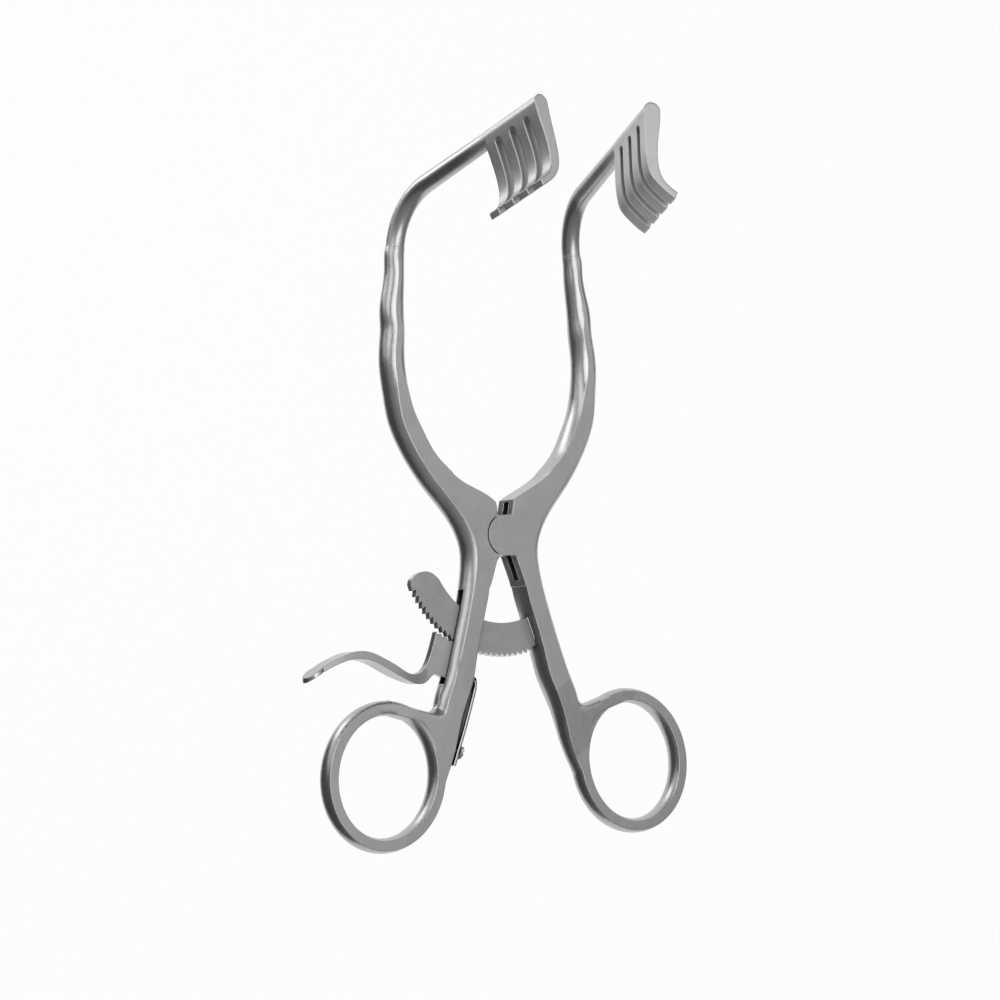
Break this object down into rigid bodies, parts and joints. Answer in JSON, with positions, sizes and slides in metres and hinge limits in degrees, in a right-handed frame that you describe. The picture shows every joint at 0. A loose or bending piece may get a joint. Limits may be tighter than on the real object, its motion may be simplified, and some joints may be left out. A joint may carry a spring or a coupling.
{
  "type": "self retaining retractor",
  "caption": "Self retaining surgical retractor: ring handles, lap joint, ratchet rack with thumb release, and two arms ending in clawed blades.",
  "frame": {"origin": "on the joint axis, in the ground back face", "axes": "+Y from the joint towards the blades, +X towards the right hand branch, +Z out of the front face, the way the blades rise"},
  "size_m": [0.1155, 0.1795, 0.0566],
  "materials": {
    "satin_steel": "satin",
    "polished_steel": "polished"
  },
  "bodies": {
    "left_body": {"left_branch": "satin_steel", "lever_pin": "satin_steel", "leaf_spring": "polished_steel", "spring_screw": "polished_steel"},
    "right_body": {"right_branch": "satin_steel", "joint_rivet": "satin_steel", "ratchet_rack": "satin_steel", "rack_pins": "satin_steel"},
    "lever_body": {"release_lever": "satin_steel"}
  },
  "joints": [
    {"name": "arm_pivot", "type": "hinge", "parent": "left_body", "child": "right_body", "pos_m": [0, 0, 0.00325], "axis": [0, 0, 1], "range_deg": [-28.8, 16]},
    {"name": "lever_pivot", "type": "hinge", "parent": "left_body", "child": "lever_body", "pos_m": [-0.0152, -0.0324, 0.00325], "axis": [0, 0, 1], "range_deg": [-9.6, 4], "stiffness_Nm_per_rad": 0.2, "springref_deg": -20.05, "deforming": ["leaf_spring"]}
  ]
}
